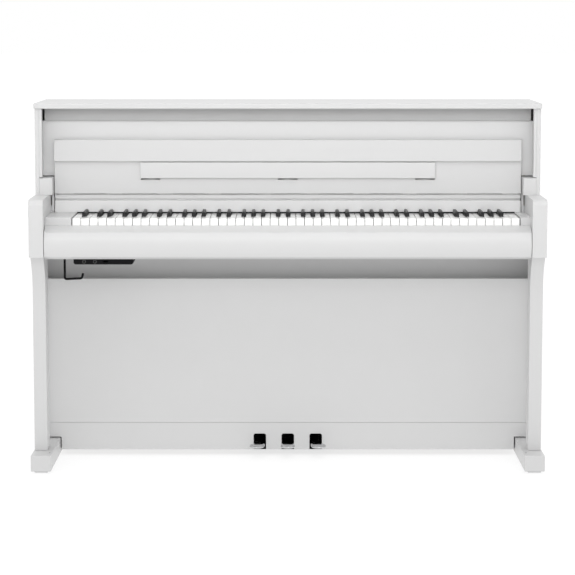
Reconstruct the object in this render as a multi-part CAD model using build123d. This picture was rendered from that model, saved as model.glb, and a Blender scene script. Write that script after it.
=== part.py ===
"""Digital upright piano: cabinet, folding key cover, 88 keys with weighted hammers, pedals."""

import os

from build123d import *

os.makedirs("parts", exist_ok=True)

# ---------------------------------------------------------------- driving dimensions (mm)
DEPTH = 440.0  # arm fronts to the rear ends of the feet
HEIGHT = 1012.0
LID_HALF, LID_T = 703.5, 15.0
LID_FRONT, LID_BACK = 145.0, 435.0
SIDE_IN, SIDE_OUT = 690.0, 701.5
SIDE_UPPER_FRONT, SIDE_LOWER_FRONT, SIDE_BACK = 153.0, 235.0, 425.0
ARM_IN, ARM_OUT, ARM_BOTTOM, ARM_TOP, ARM_BACK = 663.5, 703.0, 600.0, 757.0, 200.0
LEG_IN, LEG_OUT, LEG_FRONT, LEG_BACK = 667.0, 703.0, 73.0, 130.0
FOOT_IN, FOOT_OUT, FOOT_BOTTOM, FOOT_TOP = 650.5, 706.0, 7.5, 52.0
PANEL_FRONT, PANEL_T = 245.0, 16.0
BED_TOP, BED_T = 600.0, 11.0

WHITE_KEYS, PITCH, KEYS_LEFT = 52, 23.53, -589.4
KEY_GAP, SLOT, BLACK_W = 1.5, 12.7, 10.7
KEY_TOP, KEY_FRONT, HEAD_BACK, KEY_BACK = 702.0, 50.0, 100.0, 320.0
STICK_BOTTOM, LIP_BOTTOM, BLACK_TOP = 690.0, 680.0, 714.0
KEY_PIVOT = (300.0, 684.0)
HAMMER_PIVOT = (190.0, 655.0)
ROD_R, FIT = 3.0, 0.1
HAMMER_W = 9.0
FRAME_LEFT, FRAME_RIGHT = -588.0, 633.0

HINGE = (202.0, 757.0)  # key cover pin, depth behind the arm fronts and height
LEAN = 3.0  # the open cover leans back by this much
COVER_HALF, COVER_LEN, COVER_T = 653.0, 152.0, 12.0
LEDGE_HALF = 412.0
HINGE_X = [s * (69 + 138 * k) for k in range(5) for s in (-1, 1)]

PEDAL_X = (-80.0, 0.0, 80.0)
PEDAL_PIVOT = (330.0, 37.0)
SHAFT_R = 3.0


# ---------------------------------------------------------------- helpers
def y_of(depth):
    """Depth behind the arm fronts to the part's own Y."""
    return depth - DEPTH / 2


def block(x0, x1, d0, d1, z0, z1):
    centre = ((x0 + x1) / 2, y_of((d0 + d1) / 2), (z0 + z1) / 2)
    return Pos(*centre) * Box(x1 - x0, d1 - d0, z1 - z0)


def prism(points, x0, x1):
    """A profile of (depth, height) points, in either turning sense, drawn along X from x0 to x1."""
    pairs = zip(points, points[1:] + points[:1])
    if sum(a[0] * b[1] - a[1] * b[0] for a, b in pairs) < 0:
        points = points[::-1]
    flat = Plane.YZ.offset(x0) * Polygon(*[(y_of(d), z) for d, z in points], align=None)
    return extrude(flat, amount=x1 - x0)


def rod(x0, x1, d, z, r):
    return Pos((x0 + x1) / 2, y_of(d), z) * Rot(0, 90, 0) * Cylinder(r, x1 - x0)


def upright_cylinder(x, d, z0, z1, r):
    return Pos(x, y_of(d), (z0 + z1) / 2) * Cylinder(r, z1 - z0)


def deep_cylinder(x, z, d0, d1, r):
    return Pos(x, y_of((d0 + d1) / 2), z) * Rot(90, 0, 0) * Cylinder(r, d1 - d0)


def mirrored(part):
    return mirror(part, about=Plane.YZ)


def write(name, *solids):
    flat = []
    for s in solids:
        flat += list(s.solids())
    export_step(flat[0] if len(flat) == 1 else Compound(children=flat), f"parts/{name}.step")


def soften(part, axis, r, pick=None):
    edges = part.edges().filter_by(axis)
    return fillet(pick(edges) if pick else edges, r)


# ---------------------------------------------------------------- cabinet
lid = block(-LID_HALF, LID_HALF, LID_FRONT, LID_BACK, HEIGHT - LID_T, HEIGHT)
lid = soften(lid, Axis.Z, 5)
lid = fillet(lid.faces().sort_by(Axis.Z)[-1].edges(), 2.5)
write("top_lid", lid)

side = prism(
    [
        (SIDE_LOWER_FRONT, FOOT_TOP),
        (SIDE_BACK, FOOT_TOP),
        (SIDE_BACK, HEIGHT - LID_T),
        (SIDE_UPPER_FRONT, HEIGHT - LID_T),
        (SIDE_UPPER_FRONT, ARM_BOTTOM - 40),
        (SIDE_LOWER_FRONT, ARM_BOTTOM - 90),
    ],
    SIDE_IN,
    SIDE_OUT,
)
side = fillet(side.faces().sort_by(Axis.X)[-1].edges().filter_by(Axis.Z), 1.5)
side += block(682, SIDE_IN, SIDE_UPPER_FRONT, 175, 806.5, HEIGHT - LID_T)
write("right_side_panel", side)
write("left_side_panel", mirrored(side))

arm = block(ARM_IN, ARM_OUT, 0, SIDE_UPPER_FRONT, ARM_BOTTOM, ARM_TOP)
arm += block(ARM_IN, SIDE_IN, SIDE_UPPER_FRONT, ARM_BACK, ARM_BOTTOM, ARM_TOP)
front_top = [
    e
    for e in arm.edges().filter_by(Axis.X)
    if abs(e.center().Y - y_of(0)) < 0.1 and abs(e.center().Z - ARM_TOP) < 0.1
]
arm = fillet(front_top, 16)
front_up = [e for e in arm.edges().filter_by(Axis.Z) if abs(e.center().Y - y_of(0)) < 0.1]
arm = fillet(front_up, 2)
write("right_arm", arm)
write("left_arm", mirrored(arm))

leg_line = Polyline(
    (y_of(25), ARM_BOTTOM),
    (y_of(LEG_BACK), ARM_BOTTOM),
    (y_of(LEG_BACK), FOOT_TOP),
    (y_of(LEG_FRONT), FOOT_TOP),
    (y_of(LEG_FRONT), 500),
)
leg_curve = ThreePointArc((y_of(LEG_FRONT), 500), (y_of(60), 555), (y_of(25), ARM_BOTTOM))
leg = extrude(Plane.YZ.offset(LEG_IN) * make_face(leg_line + leg_curve), amount=LEG_OUT - LEG_IN)
write("right_leg", leg)
write("left_leg", mirrored(leg))

foot = block(FOOT_IN, FOOT_OUT, 5, DEPTH, FOOT_BOTTOM, FOOT_TOP)
ends = [e for e in foot.edges().filter_by(Axis.X) if e.center().Z > 50]
foot = chamfer(ends, 4)
foot += block(FOOT_IN + 9, FOOT_OUT - 9, 12, 72, 3, FOOT_BOTTOM)
foot += block(FOOT_IN + 9, FOOT_OUT - 9, 372, 432, 3, FOOT_BOTTOM)
write("right_foot", foot)
write("left_foot", mirrored(foot))

mid = (FOOT_IN + FOOT_OUT) / 2
write(
    "glides",
    *[upright_cylinder(s * mid, d, 0, 3, 11) for s in (-1, 1) for d in (42, 402)],
)

board = block(-687.5, 687.5, 216, 232, 757, 961)
board -= block(654.5, 690, 210, 240, 750, 806.5)
board -= block(-690, -654.5, 210, 240, 750, 806.5)
write("upper_front_board", board)
write("sound_slot_board", block(-679.9, 679.9, 206, 214, 961.2, HEIGHT - LID_T))
write("back_panel", block(-SIDE_IN, SIDE_IN, 419, 425, FOOT_TOP + 4, HEIGHT - LID_T))
cheek = block(655, SIDE_IN - 0.1, SIDE_UPPER_FRONT, 232, ARM_TOP, 804)
cheek += block(655, 661, 196, 246, 705, 757)
cheek += block(661, ARM_IN, 196, 246, 705, 724)
write("cheek_blocks", cheek, mirrored(cheek))

bed = block(-LEG_IN, LEG_IN, 60, 330, BED_TOP - BED_T, BED_TOP)
bed += block(-SIDE_IN, SIDE_IN, SIDE_LOWER_FRONT, 419, BED_TOP - BED_T, BED_TOP)
write("key_bed", bed)

rail_line = Polyline(
    (y_of(10), 668), (y_of(45), 683), (y_of(48), 683), (y_of(48), 600), (y_of(8), 600)
)
rail_curve = ThreePointArc((y_of(8), 600), (y_of(2), 636), (y_of(10), 668))
rail = extrude(Plane.YZ.offset(-662.5) * make_face(rail_line + rail_curve), amount=1325)
write("front_rail", rail)

left_block = block(-ARM_IN, -591.4, 48, 246, BED_TOP, 705)
write("left_key_block", left_block)
right_block = block(636.2, ARM_IN, 48, 246, BED_TOP, 705)
button_hole = block(642, 658, 140, 156, 695, 706)
write("right_key_block", right_block - button_hole)
write("power_button", fillet(block(642.2, 657.8, 140.2, 155.8, 697.5, 706).edges()
                             .filter_by(Axis.Z), 1.5))

write(
    "name_board",
    prism(
        [
            (198, 705),
            (246, 705),
            (246, 755),
            (204, 755),
            (204, 743),
            (212, 743),
            (212, 738),
            (198, 738),
        ],
        -653,
        653,
    ),
)

write("lower_front_panel", block(-SIDE_IN, SIDE_IN, PANEL_FRONT, PANEL_FRONT + PANEL_T, 96, 511))
pedal_board = block(-SIDE_IN, SIDE_IN, PANEL_FRONT, PANEL_FRONT + PANEL_T, 18, 96)
for s in (-1, 1):
    a, b = sorted((s * (FOOT_IN - 3), s * 700))
    pedal_board -= block(a, b, 200, 300, 0, FOOT_TOP + 3)
for x in PEDAL_X:
    notch = block(x - 17.75, x + 17.75, 200, 300, 0, 64)
    pedal_board -= fillet([e for e in notch.edges().filter_by(Axis.Y) if e.center().Z > 60], 6)
write("pedal_board", pedal_board)
write("lower_recess_board", block(-SIDE_IN, SIDE_IN, 300, 308, 486, BED_TOP - BED_T)
      + block(-SIDE_IN, SIDE_IN, 261, 308, 486, 494))

# ---------------------------------------------------------------- jacks and hook
jacks = block(-589, -425, 70, 150, 573, BED_TOP - BED_T)
jacks = fillet([e for e in jacks.edges().filter_by(Axis.Y) if e.center().Z < 575], 6)
for x in (-560, -530):
    jacks -= deep_cylinder(x, 581, 60, 100, 3.2)
jacks -= block(-508, -494, 60, 90, 578.5, 583.5)
write("jack_box", jacks)

hook_path = FilletPolyline((-613, 589), (-613, 533), (-566, 535), (-563, 549), radius=6)
hook_path = Plane.XZ.offset(-y_of(68)) * hook_path
hook = sweep(Plane(hook_path @ 0, z_dir=hook_path % 0) * Circle(3.2), path=hook_path)
write("headphone_hook", hook)

# ---------------------------------------------------------------- key frame
kd, kz = KEY_PIVOT
hd, hz = HAMMER_PIVOT
frame = block(FRAME_LEFT, FRAME_RIGHT, 55, 335, BED_TOP, BED_TOP + 3)
frame += block(FRAME_LEFT, FRAME_RIGHT, 60, 84, BED_TOP + 3, 664)
for d, z in (KEY_PIVOT, HAMMER_PIVOT):
    frame += block(FRAME_LEFT, FRAME_RIGHT, d - 1.5, d + 1.5, BED_TOP + 3, z - ROD_R + 0.5)
    frame += block(FRAME_LEFT, FRAME_RIGHT, d - 8, d + 8, BED_TOP + 3, z - 22)
    frame += rod(FRAME_LEFT, FRAME_RIGHT, d, z, ROD_R)
write("key_frame", frame)

# ---------------------------------------------------------------- keys and hammers
NOTES = ["c", "cs", "d", "ds", "e", "f", "fs", "g", "gs", "a", "as", "b"]
TAIL3 = (3 * PITCH - 2 * SLOT) / 3
TAIL4 = (4 * PITCH - 3 * SLOT) / 4
# Octave slots for the black keys, measured from the left edge of C.
SLOT_LEFT = {
    "cs": TAIL3,
    "ds": 2 * TAIL3 + SLOT,
    "fs": 3 * PITCH + TAIL4,
    "gs": 3 * PITCH + 2 * TAIL4 + SLOT,
    "as": 3 * PITCH + 3 * TAIL4 + 2 * SLOT,
}
WHITES = ["c", "d", "e", "f", "g", "a", "b"]
C1_LEFT = KEYS_LEFT + 2 * PITCH


def tail_profile(top, start):
    """Key stick with a peg over the hammer and a fork over the pivot rod."""
    n = ROD_R + FIT
    return [
        (start, top),
        (start, STICK_BOTTOM),
        (127, STICK_BOTTOM),
        (127, hz + 8.5),
        (133, hz + 8.5),
        (133, STICK_BOTTOM),
        (kd - 8, STICK_BOTTOM),
        (kd - 8, kz - 2.5),
        (kd - n, kz - 2.5),
        (kd - n, kz + n),
        (kd + n, kz + n),
        (kd + n, kz - 2.5),
        (kd + 8, kz - 2.5),
        (kd + 8, STICK_BOTTOM),
        (KEY_BACK, STICK_BOTTOM),
        (KEY_BACK, top),
    ]


def hammer_profile():
    n = ROD_R + FIT
    return [
        (hd - 68, hz + 1),
        (hd - 8, hz + 1),
        (hd - 8, hz - 2.5),
        (hd - n, hz - 2.5),
        (hd - n, hz + n),
        (hd + n, hz + n),
        (hd + n, hz - 2.5),
        (hd + 8, hz - 2.5),
        (hd + 8, hz + 1),
        (hd + 50, hz + 1),
        (hd + 50, hz - 10),
        (hd + 94, hz - 10),
        (hd + 94, hz + 12),
        (hd + 50, hz + 12),
        (hd + 50, hz + 8),
        (hd - 68, hz + 8),
    ]


def slots_near(x0, x1, octave_left):
    """Tail edges of a white key between x0 and x1: clear of the black key slots."""
    lo, hi = x0, x1
    for left in SLOT_LEFT.values():
        a, b = octave_left + left, octave_left + left + SLOT
        if a < x0 < b:
            lo = b
        if a < x1 < b:
            hi = a
    return lo, hi


def white_key(x0, x1, lo, hi):
    head = block(x0 + KEY_GAP / 2, x1 - KEY_GAP / 2, KEY_FRONT, HEAD_BACK, LIP_BOTTOM, KEY_TOP)
    head -= block(x0 - 1, x1 + 1, KEY_FRONT + 4, HEAD_BACK + 1, LIP_BOTTOM - 1, STICK_BOTTOM)
    tail_lo = lo + (KEY_GAP / 2 if lo == x0 else 0)
    tail_hi = hi - (KEY_GAP / 2 if hi == x1 else 0)
    return head + prism(tail_profile(KEY_TOP, HEAD_BACK), tail_lo, tail_hi), (tail_lo + tail_hi) / 2


def black_key(centre):
    start = HEAD_BACK + 1.5
    stick = prism(tail_profile(KEY_TOP - 1, start), centre - BLACK_W / 2, centre + BLACK_W / 2)
    cap = [(start, KEY_TOP - 1), (107.5, BLACK_TOP), (192, BLACK_TOP), (195, KEY_TOP - 1)]
    cap = prism(cap, centre - BLACK_W / 2 + 0.6, centre + BLACK_W / 2 - 0.6)
    return stick + cap


keys = {n: [] for n in NOTES}
hammers = {n: [] for n in NOTES}
for number in range(21, 109):
    note = NOTES[number % 12]
    octave_left = C1_LEFT + (number // 12 - 2) * 7 * PITCH
    if note in WHITES:
        x0 = octave_left + WHITES.index(note) * PITCH
        x1 = x0 + PITCH
        lo, hi = slots_near(x0, x1, octave_left)
        if number == 21:
            lo = x0
        if number == 108:
            hi = x1
        key, centre = white_key(x0, x1, lo, hi)
    else:
        centre = octave_left + SLOT_LEFT[note] + SLOT / 2
        key = black_key(centre)
    keys[note].append(key)
    hammers[note].append(prism(hammer_profile(), centre - HAMMER_W / 2, centre + HAMMER_W / 2))

for note in NOTES:
    write(f"keys_{note}", *keys[note])
    write(f"hammers_{note}", *hammers[note])

# ---------------------------------------------------------------- folding key cover
cd, cz = HINGE


def on_cover(part):
    """Leans a piece drawn upright by the open cover's angle about the cover pin."""
    return Pos(0, y_of(cd), cz) * Rot(-LEAN, 0, 0) * Pos(0, -y_of(cd), -cz) * part


front, back = cd - COVER_T + 4, cd + 4
groove = 2.0 + FIT
panel = prism(
    [
        (front, cz),
        (cd - groove, cz),
        (cd - groove, cz + groove),
        (cd + groove, cz + groove),
        (cd + groove, cz),
        (back, cz),
        (back, cz + COVER_LEN),
        (front, cz + COVER_LEN),
    ],
    -COVER_HALF,
    COVER_HALF,
)
write("key_cover", on_cover(panel))

flap = block(-COVER_HALF, COVER_HALF, front - 8.6, front - 0.6, cz + 90.5, cz + COVER_LEN)
top = [e for e in flap.edges().filter_by(Axis.X) if e.center().Z > cz + 140]
flap = fillet(top, 3.5)
write("cover_flap", on_cover(flap))

ledge = block(-LEDGE_HALF, LEDGE_HALF, front - 6.6, front - 0.6, cz + 43.5, cz + 88)
long_edges = ledge.edges().filter_by(Axis.X)
top = [e for e in long_edges if e.center().Z > cz + 80]
ledge = fillet(top, 1.5)
foot_edge = [
    e
    for e in ledge.edges().filter_by(Axis.X)
    if e.center().Z < cz + 44 and e.center().Y > y_of(front - 1)
]
ledge = fillet(foot_edge, 2)
write("music_ledge", on_cover(ledge))

write(
    "cover_hinge",
    *[
        block(x - 12, x + 12, cd + 0.3, cd + 14, cz - 2, cz - 0.5) + rod(x - 20, x + 20, cd, cz, 2)
        for x in HINGE_X
    ],
)

# ---------------------------------------------------------------- pedals
pd, pz = PEDAL_PIVOT


def pedal(x, flare):
    """A flat pedal widening to a rounded toe, with a bore for the shaft."""
    toe = Plane.XY.offset(31) * make_face(
        Spline(
            (x - 9, y_of(238)),
            (x - 20 + flare, y_of(204)),
            (x + flare, y_of(180)),
            (x + 20 + flare, y_of(204)),
            (x + 9, y_of(238)),
        )
        + Line((x + 9, y_of(238)), (x - 9, y_of(238)))
    )
    body = extrude(toe, amount=12)
    body += block(x - 9, x + 9, 236, 342, 31, 43)
    body = body - rod(x - 20, x + 20, pd, pz, SHAFT_R + 0.05)
    return body


write("left_pedal", pedal(PEDAL_X[0], -9))
write("middle_pedal", pedal(PEDAL_X[1], 0))
write("right_pedal", pedal(PEDAL_X[2], 9))

pedal_frame = block(-118, 118, 262, 380, 15, 18)
pedal_frame += block(-118, 118, 377, 380, 18, 74)
pedal_frame += block(-118, 118, 262, 380, 71, 74)
for x in (-112, -40, 40, 112):
    pedal_frame += block(x - 4, x + 4, 322, 338, 18, 71)
pedal_frame += rod(-117, 117, pd, pz, SHAFT_R)
write("pedal_frame", pedal_frame)

# ---------------------------------------------------------------- inside the cabinet
speakers = []
for x in (-470, 470):
    ring = deep_cylinder(x, 880, 232, 237, 60)
    bowl = Pos(x, y_of(254), 880) * Rot(90, 0, 0) * Cone(24, 55, 36)
    magnet = deep_cylinder(x, 880, 271, 293, 30)
    speakers.append(ring + bowl + magnet)
write("speakers", *speakers)

board = block(-180, 180, 407, 409, 640, 780)
for x in (-170, 170):
    for z in (650, 770):
        board += deep_cylinder(x, z, 409, 419, 4)
for x, z, w, h, t in ((-100, 700, 60, 40, 14), (0, 715, 30, 30, 5), (90, 690, 44, 50, 22)):
    board += block(x - w / 2, x + w / 2, 407 - t, 407, z - h / 2, z + h / 2)
write("circuit_board", board)
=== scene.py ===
"""Looks of a white digital upright piano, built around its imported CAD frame."""

# %% [markdown]
# # The frame
# The CAD model is the piano's skeleton: it fixes every size and every hinge. It is loaded first and
# never changed. Everything below either gives one of its nodes a finish, or puts a softer, finer
# surface in a node's place and lets it ride on the same body.

import math

import bpy
import numpy as np
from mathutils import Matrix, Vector


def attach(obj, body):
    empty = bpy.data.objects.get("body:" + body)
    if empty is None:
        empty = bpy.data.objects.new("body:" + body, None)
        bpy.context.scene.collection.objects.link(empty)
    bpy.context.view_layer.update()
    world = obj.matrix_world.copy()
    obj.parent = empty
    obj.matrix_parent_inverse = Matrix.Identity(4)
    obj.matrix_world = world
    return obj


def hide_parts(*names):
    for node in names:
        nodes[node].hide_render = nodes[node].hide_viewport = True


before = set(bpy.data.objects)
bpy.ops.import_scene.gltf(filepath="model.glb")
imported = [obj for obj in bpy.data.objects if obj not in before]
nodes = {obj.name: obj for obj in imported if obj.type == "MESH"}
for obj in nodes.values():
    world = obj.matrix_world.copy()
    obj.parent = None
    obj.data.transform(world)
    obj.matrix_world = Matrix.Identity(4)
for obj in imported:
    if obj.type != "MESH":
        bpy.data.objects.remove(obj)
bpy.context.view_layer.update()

# %% [markdown]
# # Measures
# A piano maker measures depth from the front of the arms. The shared lengths are the same as in the
# CAD source, in millimetres, and `place` turns (x, depth, height) into the frame's metres. Lengths
# that belong to one piece are named beside that piece.

# %% Shared measures
DEPTH, HEIGHT = 440.0, 1012.0
FOOT_TOP, ARM_BOTTOM, ARM_TOP, LID_BOTTOM = 52.0, 600.0, 757.0, 997.0
SIDE_IN, SIDE_OUT, SIDE_FRONT = 690.0, 701.5, 153.0
ARM_IN, ARM_OUT = 663.5, 703.0
KEY_BOTTOM, KEY_TOP, BLACK_TOP = 690.0, 702.0, 714.0
PITCH, KEYS_LEFT = 23.53, -589.4
COVER_HALF = 653.0
SIDES = (("left", -1), ("right", 1))
HINGE = (202.0, 757.0)
LEAN = math.radians(3.0)


def place(points):
    """(x, depth, height) in mm to metres: y is depth less half the piano's depth."""
    p = np.array(points, float)
    p[..., 1] -= DEPTH / 2
    return p * 0.001


def leaned(points):
    """Turns (x, depth, height) points about the key cover's pin by the open cover's lean."""
    p = np.array(points, float)
    d, z = p[..., 1] - HINGE[0], p[..., 2] - HINGE[1]
    p[..., 1] = HINGE[0] + d * math.cos(LEAN) + z * math.sin(LEAN)
    p[..., 2] = HINGE[1] - d * math.sin(LEAN) + z * math.cos(LEAN)
    return p


print("white keys span", round(52 * PITCH, 1), "mm")

# %% [markdown]
# # From a profile to a surface
# Furniture boards, rails and legs are all one idea: a flat outline carried along a straight path.
# The outline is one parameter, the path is the other, so each board is a small grid of quads with a
# cap at each end. A Bevel modifier then eases its edges, as sandpaper does, and hardened normals
# keep the wide faces flat in the reflections.


# %% Rings of points to a closed mesh
def ring_faces(rings, count, first):
    """Quads between neighbouring rings of count points, numbered from first: i joins i+1 round."""
    r, c = np.meshgrid(np.arange(rings - 1), np.arange(count), indexing="ij")
    n = (c + 1) % count
    quads = np.stack([r * count + c, r * count + n, (r + 1) * count + n, (r + 1) * count + c], -1)
    return (quads.reshape(-1, 4) + first).tolist()


def loft(rings, first):
    """A closed surface from rings shaped (rings, points, 3): side quads and two end caps."""
    n, m = rings.shape[:2]
    faces = ring_faces(n, m, first)
    faces.append((np.arange(m)[::-1] + first).tolist())
    faces.append((np.arange(m) + (n - 1) * m + first).tolist())
    return rings.reshape(-1, 3), faces


def volume_sign(rings):
    """Sign of a loft's volume, from ring area times the way from first ring to last."""
    a = rings[len(rings) // 2]
    area = 0.5 * np.cross(a, np.roll(a, -1, 0)).sum(0)
    return np.sign(area @ (rings[-1].mean(0) - rings[0].mean(0)))


def build(name, parts, body, node, material, bevel=0.0, smooth=True):
    """Joins lofts into one mesh object, rides it on a body and puts it in a CAD node's place."""
    points, faces, total = [], [], 0
    for rings in parts:
        if volume_sign(rings) < 0:
            rings = rings[:, ::-1]
        p, f = loft(rings, total)
        points.append(p)
        faces += f
        total += len(p)
    mesh = bpy.data.meshes.new(name)
    mesh.from_pydata(place(np.concatenate(points)).tolist(), [], faces)
    mesh.polygons.foreach_set("use_smooth", np.full(len(mesh.polygons), smooth))
    mesh.update()
    piece = bpy.data.objects.new(name, mesh)
    bpy.context.scene.collection.objects.link(piece)
    if bevel:
        ease = piece.modifiers.new("eased_edges", "BEVEL")
        ease.width, ease.segments = bevel * 0.001, 3
        ease.limit_method, ease.angle_limit = "ANGLE", math.radians(32)
        ease.harden_normals = True
    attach(piece, body)
    if node:
        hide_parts(node)
    mesh.materials.append(material)
    print(name, len(mesh.polygons), "faces")


# %% Profiles carried along X, Y or Z
def along_x(profile, x0, x1):
    """Carries (depth, height) points from x0 to x1: the same ring at both ends."""
    p = np.array(profile, float)
    rings = np.empty((2, len(p), 3))
    rings[..., 0] = [[x0], [x1]]
    rings[..., 1:] = p
    return rings


def along_y(profile, d0, d1):
    """Carries (x, height) points from depth d0 to d1."""
    p = np.array(profile, float)
    rings = np.empty((2, len(p), 3))
    rings[..., 0], rings[..., 2] = p[:, 0], p[:, 1]
    rings[..., 1] = [[d0], [d1]]
    return rings


def along_z(profile, heights):
    """Carries (x, depth) points up through the given heights."""
    p = np.array(profile, float)
    z = np.array(heights, float)
    rings = np.empty((len(z), len(p), 3))
    rings[..., :2] = p
    rings[..., 2] = z[:, None]
    return rings


def slab(x0, x1, d0, d1, z0, z1):
    """A board between two corners, as a rectangle carried along X."""
    return along_x([(d0, z0), (d1, z0), (d1, z1), (d0, z1)], x0, x1)


def arc(centre, radius, start, stop, count):
    """Points on a circle: centre plus radius times (cos, sin) of an even run of angles."""
    t = np.radians(np.linspace(start, stop, count))
    return np.stack([centre[0] + radius * np.cos(t), centre[1] + radius * np.sin(t)], 1)


def arc_through(a, b, c, count):
    """The arc from a to c through b: its centre is as far from a as from b, and from b as from c."""
    a, b, c = np.array([a, b, c], float)
    chords = np.array([b - a, c - b])
    centre = np.linalg.solve(chords, np.array([b @ b - a @ a, c @ c - b @ b]) / 2)
    start = math.degrees(math.atan2(*(a - centre)[::-1]))
    stop = math.degrees(math.atan2(*(c - centre)[::-1]))
    if abs(stop - start) > 180:
        start += 360 if start < stop else -360
    return arc(centre, np.linalg.norm(a - centre), start, stop, count)


def turned(centre, axis, radii, reach, count=40):
    """A turned piece: circles of the given radii at the given distances along an axis."""
    t = np.linspace(0, 2 * np.pi, count, endpoint=False)
    a = "xyz".index(axis)
    rings = np.empty((len(radii), count, 3))
    u, v = [(1, 2), (2, 0), (0, 1)][a]
    r, s = np.array(radii, float)[:, None], np.array(reach, float)[:, None]
    rings[..., a] = centre[a] + s
    rings[..., u] = centre[u] + r * np.cos(t)
    rings[..., v] = centre[v] + r * np.sin(t)
    return rings


def tube(path, radius, count=20):
    """A round bar: circles across the path, each turned square to it by its own tangent."""
    p = np.array(path, float)
    t = np.gradient(p, axis=0)
    t /= np.linalg.norm(t, axis=1, keepdims=True)
    side = np.array([0.0, 1.0, 0.0])
    up = np.cross(t, side)
    up /= np.linalg.norm(up, axis=1, keepdims=True)
    across = np.cross(up, t)
    a = np.linspace(0, 2 * np.pi, count, endpoint=False)[None, :, None]
    return p[:, None] + radius * (np.cos(a) * up[:, None] + np.sin(a) * across[:, None])


print("a slab has", slab(0, 1, 0, 1, 0, 1).shape, "points")

# %% [markdown]
# # Finishes
# The cabinet is board under thick white polyester lacquer. A real coat is never quite even: it has
# a faint orange peel, and its gloss drifts a little. A Noise texture on Object coordinates drives
# roughness and a very shallow bump, and the shader's own coat gives the second, sharper reflection.
# The boards that stand back from the light get a lighter white, which is painted light, and the
# two recesses a darker grey, which is painted shade.
# The keys are moulded plastic with a finer grain, the pedals are softly worn chrome, and the hidden
# frames are plain steel.


# %% A helper for noisy finishes
def finish(name, colour, rough, spread, grain, bump, tint, **sockets):
    """Principled shader: noise moves colour by +-tint and roughness by +-spread, and bumps it."""
    m = bpy.data.materials.new(name)
    m.use_nodes = True
    t = m.node_tree
    shader = t.nodes["Principled BSDF"]
    where = t.nodes.new("ShaderNodeTexCoord")
    noise = t.nodes.new("ShaderNodeTexNoise")
    noise.inputs["Scale"].default_value = grain
    noise.inputs["Detail"].default_value = 4.0
    t.links.new(where.outputs["Object"], noise.inputs["Vector"])
    ramp = t.nodes.new("ShaderNodeMapRange")
    ramp.inputs["To Min"].default_value = max(rough - spread, 0.02)
    ramp.inputs["To Max"].default_value = rough + spread
    t.links.new(noise.outputs["Fac"], ramp.inputs["Value"])
    t.links.new(ramp.outputs["Result"], shader.inputs["Roughness"])
    shades = t.nodes.new("ShaderNodeValToRGB")
    lo = [max(c - tint, 0.0) for c in colour]
    hi = [min(c + tint, 1.0) for c in colour]
    shades.color_ramp.elements[0].color = (*lo, 1)
    shades.color_ramp.elements[1].color = (*hi, 1)
    t.links.new(noise.outputs["Fac"], shades.inputs["Fac"])
    t.links.new(shades.outputs["Color"], shader.inputs["Base Color"])
    if bump:
        fine = t.nodes.new("ShaderNodeTexNoise")
        fine.inputs["Scale"].default_value = grain * 6
        fine.inputs["Detail"].default_value = 2.0
        t.links.new(where.outputs["Object"], fine.inputs["Vector"])
        relief = t.nodes.new("ShaderNodeBump")
        relief.inputs["Strength"].default_value = bump
        relief.inputs["Distance"].default_value = 0.0004
        t.links.new(fine.outputs["Fac"], relief.inputs["Height"])
        t.links.new(relief.outputs["Normal"], shader.inputs["Normal"])
    for key, value in sockets.items():
        shader.inputs[key.replace("_", " ")].default_value = value
    return m


# %% The finishes
COAT = {"Coat_Weight": 0.25, "Coat_Roughness": 0.22}
# The two lighter whites are painted light: the same lacquer, lightened for boards that stand in
# shade.
bright_lacquer = finish("bright_lacquer", (0.76, 0.76, 0.76), 0.5, 0.05, 14, 0.03, 0.008, **COAT)
board_lacquer = finish("board_lacquer", (0.71, 0.71, 0.71), 0.5, 0.05, 14, 0.03, 0.008, **COAT)
lacquer = finish("white_lacquer", (0.60, 0.60, 0.60), 0.5, 0.05, 14, 0.03, 0.008, **COAT)
satin_white = finish("satin_white", (0.72, 0.72, 0.72), 0.55, 0.06, 30, 0.06, 0.015)
# The two greys are painted shade: white board coloured darker where the recesses lie in shade.
recess_grey = finish("recess_grey", (0.45, 0.45, 0.45), 0.6, 0.05, 30, 0.05, 0.015)
shade_grey = finish("shade_grey", (0.57, 0.57, 0.57), 0.6, 0.05, 30, 0.05, 0.015)
key_plastic = finish("key_plastic", (0.97, 0.97, 0.96), 0.22, 0.05, 90, 0.05, 0.008, Coat_Weight=0.4)
ebony_plastic = finish("ebony_plastic", (0.01, 0.01, 0.011), 0.4, 0.08, 120, 0.1, 0.003,
                       Specular_IOR_Level=0.25)
chrome = finish("pedal_chrome", (0.55, 0.55, 0.56), 0.13, 0.06, 40, 0.02, 0.02, Metallic=1.0)
DULL = {"Specular_IOR_Level": 0.06}
black_plastic = finish("black_plastic", (0.01, 0.01, 0.011), 0.5, 0.08, 200, 0.25, 0.003, **DULL)
black_coat = finish("black_powder_coat", (0.008, 0.008, 0.009), 0.45, 0.08, 300, 0.3, 0.003, **DULL)
dark_steel = finish("dark_steel", (0.12, 0.12, 0.12), 0.4, 0.08, 80, 0.05, 0.02, Metallic=1.0)
steel = finish("bare_steel", (0.55, 0.55, 0.56), 0.35, 0.1, 80, 0.1, 0.04, Metallic=1.0)
hinge_steel = finish("hinge_steel", (0.5, 0.5, 0.5), 0.3, 0.06, 80, 0.05, 0.03, Metallic=1.0)
board_fibre = finish("raw_fibre_board", (0.42, 0.31, 0.2), 0.85, 0.08, 260, 0.5, 0.06)
circuit_green = finish("circuit_green", (0.02, 0.13, 0.05), 0.4, 0.08, 150, 0.1, 0.02)
felt_black = finish("black_felt", (0.012, 0.011, 0.012), 0.95, 0.04, 500, 0.8, 0.006)
print(len(bpy.data.materials), "finishes")

# %% [markdown]
# # Lid and side panels
# The lid is one thick board that overhangs the sides by a few millimetres. The side panels are cut
# back below the arms, so that the legs stand alone in front. Both are outlines carried across
# their thickness. A shallow lip inside each panel's front edge makes that edge look thicker and
# hides the end of the front board.

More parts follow.
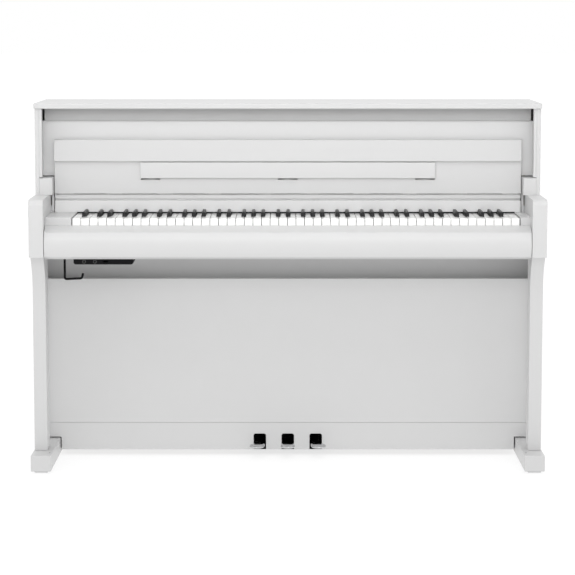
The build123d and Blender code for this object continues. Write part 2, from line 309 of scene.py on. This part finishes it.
# %% The lid and the side panels
LID_HALF, LID_FRONT, LID_BACK = 703.5, 145, 435
build("lid_board", [slab(-LID_HALF, LID_HALF, LID_FRONT, LID_BACK, LID_BOTTOM, HEIGHT)], "cabinet",
      "top_lid", lacquer, 2.4)
SIDE_BACK, SIDE_LOWER_FRONT = 425, 235
LIP_IN, LIP_BACK, LIP_BOTTOM = 682, 175, 806.5
side_profile = [
    (SIDE_LOWER_FRONT, FOOT_TOP),
    (SIDE_BACK, FOOT_TOP),
    (SIDE_BACK, LID_BOTTOM),
    (SIDE_FRONT, LID_BOTTOM),
    (SIDE_FRONT, 560),
    (SIDE_LOWER_FRONT, 510),
]
for name, s in SIDES:
    board = along_x(side_profile, s * SIDE_IN, s * SIDE_OUT)
    lip = slab(s * LIP_IN, s * SIDE_IN, SIDE_FRONT, LIP_BACK, LIP_BOTTOM, LID_BOTTOM)
    build(name + "_side_board", [board, lip], "cabinet", name + "_side_panel",
          lacquer, 1.2)

# %% [markdown]
# # Arms
# Each arm is a tall block with a generous round along its top front edge. Its outline seen from
# above is carried upwards, and over the last few millimetres its front points step back along a
# quarter circle, so the round is part of the surface itself.

# %% The arms
ARM_ROUND, ARM_BACK = 16.0, 200.0


def arm_rings(s):
    """The plan outline at rising heights; front points move back by r(1-cos) near the top."""
    plan = np.array([
        (ARM_IN, 0),
        (ARM_OUT, 0),
        (ARM_OUT, SIDE_FRONT),
        (SIDE_IN, SIDE_FRONT),
        (SIDE_IN, ARM_BACK),
        (ARM_IN, ARM_BACK),
    ])
    plan[:, 0] *= s
    t = np.linspace(0, np.pi / 2, 9)
    heights = np.concatenate([[ARM_BOTTOM], ARM_TOP - ARM_ROUND + ARM_ROUND * np.sin(t)])
    back = np.concatenate([[0.0], ARM_ROUND * (1 - np.cos(t))])
    rings = along_z(plan, heights)
    rings[:, :2, 1] += back[:, None]
    return rings


for name, s in SIDES:
    build(name + "_arm_block", [arm_rings(s)], "cabinet", name + "_arm",
          lacquer, 1.5)

# %% [markdown]
# # Legs and feet
# A leg is a plain post whose front sweeps forward under the arm like a bracket. The sweep is a
# circular arc in the outline. The foot beams have eased edges, a narrower pad under each end and
# small black glides on the floor. A black cap on each beam hides the screw that holds the leg.


# %% The legs
LEG_IN, LEG_FRONT, LEG_BACK = 667.0, 73.0, 130.0


def leg_profile():
    """Outline in (depth, height): straight post, then a hollow arc forward to the arm."""
    curve = arc_through((LEG_FRONT, 500), (60, 555), (25, ARM_BOTTOM), 25)
    return np.concatenate([
        [(LEG_BACK, ARM_BOTTOM), (LEG_BACK, FOOT_TOP), (LEG_FRONT, FOOT_TOP)],
        curve,
    ])


for name, s in SIDES:
    build(name + "_leg_post", [along_x(leg_profile(), s * LEG_IN, s * ARM_OUT)], "cabinet",
          name + "_leg", lacquer, 1.5)


# %% The foot beams, their pads and glides
FOOT_IN, FOOT_OUT, FOOT_BOTTOM = 650.5, 706.0, 7.5
PAD_LENGTH, PAD_BOTTOM = 60.0, 3.0
for name, s in SIDES:
    beam = slab(s * FOOT_IN, s * FOOT_OUT, 5, DEPTH, FOOT_BOTTOM, FOOT_TOP)
    pads = [
        slab(s * (FOOT_IN + 9), s * (FOOT_OUT - 9), d, d + PAD_LENGTH, PAD_BOTTOM, FOOT_BOTTOM)
        for d in (12, 372)
    ]
    build(name + "_foot_beam", [beam] + pads, "cabinet", name + "_foot", lacquer, 2.6)
foot_middle = (FOOT_IN + FOOT_OUT) / 2
glides = [
    turned((s * foot_middle, d, 0), "z", [8, 10.4, 11, 11, 9.5], [0, 0.3, 1.0, 2.6, PAD_BOTTOM])
    for _, s in SIDES
    for d in (42, 402)
]
build("floor_glides", glides, "cabinet", "glides", black_plastic)
caps = [
    turned((s * 658, 44, FOOT_TOP), "z", [2.2, 2.2, 1.8], [-0.5, 0.05, 0.3], 20)
    for _, s in SIDES
]
build("foot_screw_caps", caps, "cabinet", None, black_plastic)

# %% [markdown]
# # Upper boards
# Above the keys is the wide front board, in a lighter white that is painted light against the lid's
# shade. A narrow strip under the lid, just in front of the board's top edge, is coloured dark grey as
# painted shade, and it also stays in the lid's real shade. The board's lower corners are cut away
# for a small cheek block at each side of the key cover. All of these are plain slabs, and the thin
# shadow gaps between them do the drawing. The front board is two slabs, one above the other, so a
# faint line crosses it where they meet: the open key cover hides it, and the closed one doesn't.

# %% The boards above the keys
BOARD_FRONT, BOARD_BACK, BOARD_TOP = 216.0, 232.0, 961.0
CHEEK_IN, CHEEK_TOP, GAP_TOP = 655.0, 804.0, LIP_BOTTOM
front_board = [
    slab(-687.5, 687.5, BOARD_FRONT, BOARD_BACK, GAP_TOP, BOARD_TOP),
    slab(-654.5, 654.5, BOARD_FRONT, BOARD_BACK, ARM_TOP, GAP_TOP),
]
build("front_board", front_board, "cabinet", "upper_front_board", board_lacquer, 1.2)
# The slot board under the lid is coloured dark grey: painted shade.
build("slot_board", [slab(-679.9, 679.9, 206, 214, BOARD_TOP + 0.2, LID_BOTTOM)], "cabinet",
      "sound_slot_board", recess_grey, 0.5)
cheeks = []
for _, s in SIDES:
    cheeks += [
        slab(s * CHEEK_IN, s * (SIDE_IN - 0.1), SIDE_FRONT, BOARD_BACK, ARM_TOP, CHEEK_TOP),
        slab(s * CHEEK_IN, s * 661, 196, 246, 705, ARM_TOP),
        slab(s * 661, s * ARM_IN, 196, 246, 705, 724),
    ]
build("cheeks", cheeks, "cabinet", "cheek_blocks", lacquer, 0.8)

# %% [markdown]
# # Lower boards
# The lower panel closes the space behind the knees. Under it a second board has three round-topped
# notches for the pedals and two square ones that fit over the foot beams: its outline goes round
# all five, and is carried through the board's thickness. Felt strips behind the square notches
# close the view past the beams.


# %% The boards below the keys
PANEL_FRONT, PANEL_BACK = 245.0, 261.0
BOTTOM_EDGE, JOIN = 18.0, 96.0
PEDALS_X = (-80, 0, 80)
NOTCH_HALF, NOTCH_TOP, NOTCH_ROUND = 17.75, 64.0, 6.0
BEAM_NOTCH, BEAM_NOTCH_TOP, BEAM_NOTCH_ROUND = 647.5, 55.0, 2.0


def pedal_board_profile():
    """Outline in (x, height), walked along the bottom edge through every notch."""
    beam_arc = (BEAM_NOTCH + BEAM_NOTCH_ROUND, BEAM_NOTCH_TOP - BEAM_NOTCH_ROUND)
    line = [(-SIDE_IN, BEAM_NOTCH_TOP)]
    line += arc((-beam_arc[0], beam_arc[1]), BEAM_NOTCH_ROUND, 90, 0, 5).tolist()
    line += [(-BEAM_NOTCH, BOTTOM_EDGE)]
    reach, height = NOTCH_HALF - NOTCH_ROUND, NOTCH_TOP - NOTCH_ROUND
    for x in PEDALS_X:
        line += [(x - NOTCH_HALF, BOTTOM_EDGE)]
        line += arc((x - reach, height), NOTCH_ROUND, 180, 90, 7).tolist()
        line += arc((x + reach, height), NOTCH_ROUND, 90, 0, 7).tolist()
        line += [(x + NOTCH_HALF, BOTTOM_EDGE)]
    line += [(BEAM_NOTCH, BOTTOM_EDGE)]
    line += arc(beam_arc, BEAM_NOTCH_ROUND, 180, 90, 5).tolist()
    return np.array(line + [(SIDE_IN, BEAM_NOTCH_TOP), (SIDE_IN, JOIN), (-SIDE_IN, JOIN)])


lower_panel = slab(-SIDE_IN, SIDE_IN, PANEL_FRONT, PANEL_BACK, JOIN + 0.4, 511)
build("lower_panel", [lower_panel], "cabinet", "lower_front_panel", lacquer, 1.0)
build("pedal_panel", [along_y(pedal_board_profile(), PANEL_FRONT, PANEL_BACK)], "cabinet",
      "pedal_board", lacquer, 0.8)
recess_board = [
    slab(-SIDE_IN, SIDE_IN, 300, 308, 486, 589),
    slab(-SIDE_IN, SIDE_IN, PANEL_BACK, 300, 486, 494),
]
# The recess board under the keys is coloured grey: painted shade.
build("recess_board", recess_board, "cabinet", "lower_recess_board", shade_grey, 0.5)
seals = []
for _, s in SIDES:
    seals += [
        slab(s * 645, s * 650.3, 262, 264, 19, 57),
        slab(s * 650.3, s * 689, 262, 264, 52.2, 57),
    ]
build("notch_seals", seals, "cabinet", None, felt_black)


# %% The back panel's screws
def screw_head(x, z):
    """A low dome of four circles that stands out from the back panel."""
    return turned((x, 425, z), "y", [3.8, 3.8, 3.2, 1.6], [-0.5, 0.5, 1.1, 1.3], 20)


heads = [screw_head(x, z) for x in np.linspace(-676, 676, 7) for z in (76, 984)]
heads += [screw_head(x, z) for x in (-676, 676) for z in (303, 530, 757)]
build("back_screws", heads, "cabinet", None, steel)

# %% [markdown]
# # Front rail and key blocks
# The rail in front of the keys is gently bowed and slopes up to the keys. Its bow is a circular
# arc. The block on the left is wider than the one on the right, so the keyboard is off centre. The
# right block has a bore for the power button, which its CAD node already has, so it keeps that.


# %% The front rail
RAIL_HALF, RAIL_BACK, RAIL_TOP = 662.5, 48, 683


def rail_profile():
    """Outline in (depth, height): an arc through three heights, then the sloping top."""
    bow = arc_through((8, ARM_BOTTOM), (2, 636), (10, 668), 19)
    return np.concatenate([
        [(RAIL_BACK - 3, RAIL_TOP), (RAIL_BACK, RAIL_TOP), (RAIL_BACK, ARM_BOTTOM)],
        bow,
    ])


build("bowed_rail", [along_x(rail_profile(), -RAIL_HALF, RAIL_HALF)], "cabinet", "front_rail",
      lacquer, 0.9)


# %% The key blocks and the power button
def dress(node, material):
    """Gives a kept node one finish."""
    nodes[node].data.materials.clear()
    nodes[node].data.materials.append(material)


left_block = slab(-ARM_IN, KEYS_LEFT - 2, RAIL_BACK, 246, ARM_BOTTOM, 705)
build("left_block", [left_block], "cabinet", "left_key_block", lacquer, 1.5)
dress("right_key_block", lacquer)
button = turned((650, 148, 697.5), "z", [7.6, 7.6, 7.2, 6.4], [0, 7.7, 8.2, 8.5], 32)
build("power_cap", [button], "power_button", "power_button", lacquer)

# %% [markdown]
# # Name board
# Behind the keys stands a plain board with a step: the face below, then a narrow shelf, then the
# strip that carries the key cover's hinge. A thin black felt along its foot hides the gap over the
# keys. Any lettering is left off.

# %% The name board and its felt
NAME_FOOT, NAME_BACK = 705, 246
name_profile = [
    (198, NAME_FOOT),
    (NAME_BACK, NAME_FOOT),
    (NAME_BACK, 755),
    (204, 755),
    (204, 743),
    (212, 743),
    (212, 738),
    (198, 738),
]
# The name board and its strip get the lightest white: painted light against the shade they stand in.
build("stepped_name_board", [along_x(name_profile, -COVER_HALF, COVER_HALF)], "cabinet",
      "name_board", bright_lacquer, 0.6)
felt = slab(-591, 636, 196.6, 198.4, KEY_TOP + 0.4, NAME_FOOT + 0.9)
build("key_felt", [felt], "cabinet", None, felt_black)
dress("cover_hinge", hinge_steel)

# %% [markdown]
# # The key cover
# The open cover leans back against the front board. It is three pieces: the main panel, a flap
# folded down over its upper half with a rounded nose along the fold, and a narrow ledge that
# swings out to hold sheet music. Each is an outline drawn upright, carried across, then leaned.

# %% The cover's main panel
COVER_FRONT, COVER_FOOT = HINGE[0] - 8, HINGE[1]
COVER_BACK, COVER_HEAD = COVER_FRONT + 12, COVER_FOOT + 152
pin_groove = [
    (COVER_FRONT + 5.9, COVER_FOOT),
    (COVER_FRONT + 5.9, COVER_FOOT + 2.1),
    (COVER_FRONT + 10.1, COVER_FOOT + 2.1),
    (COVER_FRONT + 10.1, COVER_FOOT),
]
panel = [
    (COVER_FRONT, COVER_FOOT),
    *pin_groove,
    (COVER_BACK, COVER_FOOT),
    (COVER_BACK, COVER_HEAD),
    (COVER_FRONT, COVER_HEAD),
]
build("cover_panel", [leaned(along_x(panel, -COVER_HALF, COVER_HALF))], "key_cover", "key_cover",
      lacquer, 0.8)

# %% The flap and the music ledge
flap_front, flap_back = COVER_FRONT - 8.6, COVER_FRONT - 0.6
flap = np.concatenate([
    arc((flap_back - 3.6, COVER_HEAD - 3.6), 3.6, 0, 90, 8),
    arc((flap_front + 4.2, COVER_HEAD - 4.2), 4.2, 90, 180, 8),
    [(flap_front, COVER_FOOT + 90.5), (flap_back, COVER_FOOT + 90.5)],
])
build("folded_flap", [leaned(along_x(flap, -COVER_HALF, COVER_HALF))], "cover_flap", "cover_flap",
      lacquer, 0.9)
ledge_back, LEDGE_ROUND, LEDGE_HALF = COVER_FRONT - 2.6, 2.0, 412
ledge = np.concatenate([
    arc((ledge_back, COVER_FOOT + 86), LEDGE_ROUND, 0, 90, 6),
    arc((ledge_back - LEDGE_ROUND, COVER_FOOT + 86), LEDGE_ROUND, 90, 180, 6),
    [(ledge_back - 2 * LEDGE_ROUND, COVER_FOOT + 43.5)],
    arc((ledge_back, COVER_FOOT + 45.5), LEDGE_ROUND, 270, 360, 6),
])
build("ledge_strip", [leaned(along_x(ledge, -LEDGE_HALF, LEDGE_HALF))], "music_ledge",
      "music_ledge", lacquer, 0.6)
leaves = [
    leaned(slab(x - 27, x + 27, COVER_FRONT - 0.45, COVER_FRONT + 0.05, COVER_FOOT + 38.6,
                COVER_FOOT + 42.8))
    for x in (-384, 0, 384)
]
build("ledge_hinge_leaves", leaves, "key_cover", None, hinge_steel)

# %% [markdown]
# # Keys
# A white key is a plank with its rear half narrowed to let the black keys in, and its top edges
# are softened so that they catch a line of light. The plan outline is carried up in rings, and the
# last rings shrink by a tiny amount: that is the soft edge. All the keys of one note name, over
# every octave, are one piece, because they share one hinge in the frame. Keys are numbered in half
# tones, so that a number divided by twelve gives the octave, and the rest gives the note.

# %% Where each key goes
NOTES = ["c", "cs", "d", "ds", "e", "f", "fs", "g", "gs", "a", "as", "b"]
WHITES = ["c", "d", "e", "f", "g", "a", "b"]
SLOT, BLACK_WIDTH = 12.7, 10.7
TAIL3, TAIL4 = (3 * PITCH - 2 * SLOT) / 3, (4 * PITCH - 3 * SLOT) / 4
SLOT_LEFT = {
    "cs": TAIL3,
    "ds": 2 * TAIL3 + SLOT,
    "fs": 3 * PITCH + TAIL4,
    "gs": 3 * PITCH + 2 * TAIL4 + SLOT,
    "as": 3 * PITCH + 3 * TAIL4 + 2 * SLOT,
}
print("white tails are", round(TAIL3, 2), "and", round(TAIL4, 2), "mm wide")


def inset(outline, amount):
    """Moves each corner of a closed outline inward along the mean of its two edge normals."""
    edge = np.roll(outline, -1, 0) - outline
    edge /= np.linalg.norm(edge, axis=1, keepdims=True)
    n = np.stack([-edge[:, 1], edge[:, 0]], 1)
    before = np.roll(n, 1, 0)
    bisect = (n + before) / (1 + (n * before).sum(1, keepdims=True))
    return outline + amount * bisect


def soft_top(outline, heights, insets):
    """Carries an (x, depth) outline up through heights, inset by the matching amounts."""
    outline = np.array(outline, float)
    area = np.cross(outline, np.roll(outline, -1, 0)).sum()
    outline = outline if area > 0 else outline[::-1]
    return np.stack([
        np.column_stack([inset(outline, a), np.full(len(outline), z)])
        for z, a in zip(heights, insets)
    ])


def key_fittings(centre, half):
    """The hidden peg over the hammer and the two legs of the fork over the pivot rod."""
    return [
        slab(centre - half, centre + half, 127, 133, 663.5, KEY_BOTTOM),
        slab(centre - half, centre + half, 292, 296.9, 681.5, KEY_BOTTOM),
        slab(centre - half, centre + half, 303.1, 308, 681.5, KEY_BOTTOM),
    ]


# %% One white key and one black key
HALF_GAP, KEY_ROUND = 0.75, 1.2
KEY_FRONT, HEAD_END, KEY_END = 50.0, 99.5, 320.0


def white_key(left_edge, right_edge, tail_left, tail_right):
    """A plan outline with rounded front corners, in rings whose top ones shrink inwards."""
    a, b = left_edge + HALF_GAP, right_edge - HALF_GAP
    lo = tail_left + (HALF_GAP if tail_left == left_edge else 0)
    hi = tail_right - (HALF_GAP if tail_right == right_edge else 0)
    outline = np.concatenate([
        arc((a + KEY_ROUND, KEY_FRONT + KEY_ROUND), KEY_ROUND, 180, 270, 4),
        arc((b - KEY_ROUND, KEY_FRONT + KEY_ROUND), KEY_ROUND, 270, 360, 4),
        [(b, HEAD_END), (hi, HEAD_END + 0.1), (hi, KEY_END)],
        [(lo, KEY_END), (lo, HEAD_END + 0.1), (a, HEAD_END)],
    ])
    heights = [KEY_BOTTOM, KEY_TOP - 0.8, KEY_TOP - 0.38, KEY_TOP - 0.12, KEY_TOP]
    top = soft_top(outline, heights, [0, 0, 0.1, 0.35, 0.75])
    lip = slab(a + 0.05, b - 0.05, KEY_FRONT + 0.2, KEY_FRONT + 4, KEY_BOTTOM - 10, KEY_BOTTOM)
    return [top, lip] + key_fittings((lo + hi) / 2, (hi - lo) / 2 - 0.05)


def black_key(centre):
    """Rounded rectangles that narrow upwards, with the front sloping back, on a plain stick."""
    heights = BLACK_TOP - np.array([13, 10, 6, 2.5, 1, 0.3, 0])
    half = np.array([5.1, 4.95, 4.75, 4.5, 4.2, 3.7, 3.0])
    front = np.array([101.6, 102.2, 103.6, 105.6, 107.2, 108.6, 110.0])
    back = np.array([195, 195, 194.8, 194.4, 194, 193.5, 193])
    corner = 1.3
    t = np.radians(np.array([5, 25, 45, 65, 85]))
    c, s = np.cos(t), np.sin(t)
    quarters = [(1, 1, c, s), (-1, 1, -s, c), (-1, -1, -c, -s), (1, -1, s, -c)]
    xs = np.concatenate([
        np.stack([sx * (half - corner) + corner * u for u in across], 1)
        for sx, _, across, _ in quarters
    ], 1)
    ds = np.concatenate([
        np.stack([(back - corner if sy > 0 else front + corner) + corner * v for v in along], 1)
        for _, sy, _, along in quarters
    ], 1)
    cap = np.stack([centre + xs, ds, np.repeat(heights[:, None], xs.shape[1], 1)], -1)
    stick_half = BLACK_WIDTH / 2
    stick = slab(centre - stick_half, centre + stick_half, 101.5, KEY_END, KEY_BOTTOM, BLACK_TOP - 13)
    return [cap, stick] + key_fittings(centre, stick_half - 0.05)


# %% All the keys
LOWEST, HIGHEST = 21, 108
FIRST_C = KEYS_LEFT + 2 * PITCH
key_parts = {note: [] for note in NOTES}
for number in range(LOWEST, HIGHEST + 1):
    note = NOTES[number % 12]
    octave_left = FIRST_C + (number // 12 - 2) * 7 * PITCH
    if note in SLOT_LEFT:
        key_parts[note] += black_key(octave_left + SLOT_LEFT[note] + SLOT / 2)
        continue
    x0 = octave_left + WHITES.index(note) * PITCH
    x1 = x0 + PITCH
    lo, hi = x0, x1
    for gap in SLOT_LEFT.values():
        slot_left, slot_right = octave_left + gap, octave_left + gap + SLOT
        if slot_left < x0 < slot_right and number != LOWEST:
            lo = slot_right
        if slot_left < x1 < slot_right and number != HIGHEST:
            hi = slot_left
    key_parts[note] += white_key(x0, x1, lo, hi)
for note, parts in key_parts.items():
    dark = note in SLOT_LEFT
    build("note_" + note, parts, "keys_" + note, "keys_" + note,
          ebony_plastic if dark else key_plastic, smooth=dark)

# %% [markdown]
# # Pedals
# A pedal is a flat chromed lever that widens to a rounded toe. Its surface has two parameters:
# the distance from the toe, and the angle round a section that is a flattened, squared-off
# circle. The outer two bend a little away from the middle one.


# %% The pedals
TOE, TOE_WIDEST, TOE_REACH, PEDAL_END = 180.0, 204.0, 24.2, 342.0
TOE_HALF, NECK_HALF, HALF_THICKNESS = 20.5, 9.0, 6.0
NECK, BEND, PEDAL_HEIGHT = 220.0, 212.0, 37.0
SQUARENESS = 0.55


def pedal_rings(x, flare):
    """Sections |x/a|^p + |z/b|^p = 1 with p = 2 / SQUARENESS, at each distance s from the front.

    Half-width a follows an ellipse to TOE_WIDEST and then a logistic curve from the toe's half-width
    to the neck's. The outer pedals drift sideways by flare at the toe, along another logistic curve.
    """
    s = np.concatenate([
        TOE + 7 * (1 - np.cos(np.linspace(0, np.pi / 2, 9))),
        np.linspace(TOE + 10, PEDAL_END, 39),
    ])
    before_widest = (TOE_WIDEST - np.minimum(s, TOE_WIDEST)) / TOE_REACH
    toe = np.sqrt(np.clip(1 - before_widest**2, 0.0, 1))
    neck = 1 / (1 + np.exp(-(s - NECK) / 4.5))
    wide = toe * (TOE_HALF - (TOE_HALF - NECK_HALF) * neck)
    thick = np.clip(toe, 0.25, 1) * HALF_THICKNESS
    drift = flare * (1 - 1 / (1 + np.exp(-(s - BEND) / 6)))
    t = np.linspace(0, 2 * np.pi, 36, endpoint=False)
    c, n = np.cos(t), np.sin(t)
    u = np.sign(c) * np.abs(c) ** SQUARENESS
    v = np.sign(n) * np.abs(n) ** SQUARENESS
    rings = np.empty((len(s), len(t), 3))
    rings[..., 0] = x + drift[:, None] + wide[:, None] * u
    rings[..., 1] = s[:, None]
    rings[..., 2] = PEDAL_HEIGHT + thick[:, None] * v
    return rings


for name, x, flare in zip(("left", "middle", "right"), PEDALS_X, (-9, 0, 9)):
    build(name + "_lever", [pedal_rings(x, flare)], name + "_pedal", name + "_pedal",
          chrome)

# %% [markdown]
# # Headphone box and hook
# Under the left of the keyboard hangs a black box with two round sockets and a small slot, and
# beside it a bent steel rod that a headphone band hangs on. The rod is a circle carried along a
# smooth path.

# %% The headphone box
dress("jack_box", black_plastic)
rims = [
    turned((x, 70, 581), "y", [5.2, 5.2, 4.6, 3.3, 3.3], [0.0, -0.9, -1.4, -1.4, 0.0], 32)
    for x in (-560, -530)
]
build("socket_rims", rims, "cabinet", None, dark_steel)

# %% The hook
HOOK_CORNERS = [(-613, 589), (-613, 533), (-566, 535), (-563, 549)]
HOOK_DEPTH, HOOK_BEND, ROD_RADIUS = 68.0, 6.0, 3.18


def hook_path():
    """Straight runs joined by quadratic bends: each corner blends (1-t)^2, 2t(1-t) and t^2."""
    p = np.array(HOOK_CORNERS, float)
    t = np.linspace(0, 1, 9)[:, None]
    out = [p[:1]]
    for a, b, c in zip(p[:-2], p[1:-1], p[2:]):
        start = b + HOOK_BEND * (a - b) / np.linalg.norm(a - b)
        stop = b + HOOK_BEND * (c - b) / np.linalg.norm(c - b)
        out.append((1 - t) ** 2 * start + 2 * t * (1 - t) * b + t**2 * stop)
    out.append(p[-1:])
    flat = np.concatenate(out)
    return np.column_stack([flat[:, 0], np.full(len(flat), HOOK_DEPTH), flat[:, 1]])


build("hanging_hook", [tube(hook_path(), ROD_RADIUS)], "cabinet", "headphone_hook",
      black_coat)

# %% [markdown]
# # Everything the frame already has right
# Frames, hammers, loudspeakers and the circuit board are square, machined or hidden, and their CAD
# shape is right. They keep it, and only get a finish.

# %% Finishes for the kept nodes
kept = {
    "key_bed": satin_white,
    "back_panel": board_fibre,
    "key_frame": steel,
    "pedal_frame": black_coat,
    "speakers": black_plastic,
    "circuit_board": circuit_green,
}
kept.update({"hammers_" + n: steel for n in NOTES})
for name, material in kept.items():
    dress(name, material)
print(len(kept), "kept nodes")

# %% [markdown]
# # Floor, light and camera
# A white piano on a white floor is drawn by soft shadow alone, so the light comes from everywhere:
# an even white sky, a glowing floor, and three weak lamps. The strongest hangs above the
# player's side for the gloss, a wide low one faces the boards above the keys, and one stands to the
# left. The camera stands a little above the lid's height and looks slightly down.

# %% The floor
floor_mesh = bpy.data.meshes.new("floor")
reach = 60.0
floor_corners = [(-reach, -reach, 0), (reach, -reach, 0), (reach, reach, 0), (-reach, reach, 0)]
floor_mesh.from_pydata(floor_corners, [], [(0, 1, 2, 3)])
floor = bpy.data.objects.new("floor", floor_mesh)
bpy.context.scene.collection.objects.link(floor)
glow = {"Emission_Color": (1, 1, 1, 1), "Emission_Strength": 0.75, "Specular_IOR_Level": 0.0}
floor_mesh.materials.append(finish("pale_floor", (0.3, 0.3, 0.3), 0.9, 0.02, 2, 0.0, 0.004, **glow))
print("floor", 2 * reach, "m across")

# %% The light
world = bpy.data.worlds.new("studio")
bpy.context.scene.world = world
world.use_nodes = True
sky = world.node_tree.nodes["Background"]
sky.inputs["Color"].default_value = (1, 1, 1, 1)
sky.inputs["Strength"].default_value = 1.0
bpy.context.scene.view_settings.view_transform = "Standard"


def lamp(name, where, target, width, height, watts, spread=180):
    """A soft lamp aimed from where to target, its beam closed in to spread degrees."""
    data = bpy.data.lights.new(name, "AREA")
    data.shape, data.size, data.size_y = "RECTANGLE", width, height
    data.energy, data.spread = watts, math.radians(spread)
    holder = bpy.data.objects.new(name, data)
    bpy.context.scene.collection.objects.link(holder)
    holder.location = where
    holder.rotation_mode = "QUATERNION"
    holder.rotation_quaternion = (Vector(target) - Vector(where)).to_track_quat("-Z", "Y")
    print(name, watts, "W")


lamp("key_lamp", (0.2, -1.4, 3.3), (0, 0, 0.9), 1.8, 1.8, 13)
lamp("front_lamp", (0, -2.9, 1.8), (0, 0, 0.98), 2.6, 0.7, 2.6, 50)
lamp("side_lamp", (-3.0, -1.8, 1.8), (0, 0, 0.5), 2.0, 2.0, 3)

# %% The camera
camera_data = bpy.data.cameras.new("camera")
camera_data.lens, camera_data.sensor_width = 126.5, 36.0
camera_data.shift_y = -0.1
camera = bpy.data.objects.new("camera", camera_data)
bpy.context.scene.collection.objects.link(camera)
camera.location = (-0.0008, -5.663, 1.25366)
camera.rotation_euler = (math.radians(90 - 6.06), 0, 0)
bpy.context.scene.camera = camera
print("lens", camera_data.lens, "mm, shift", camera_data.shift_y)

# %% The last line
bpy.context.view_layer.update()
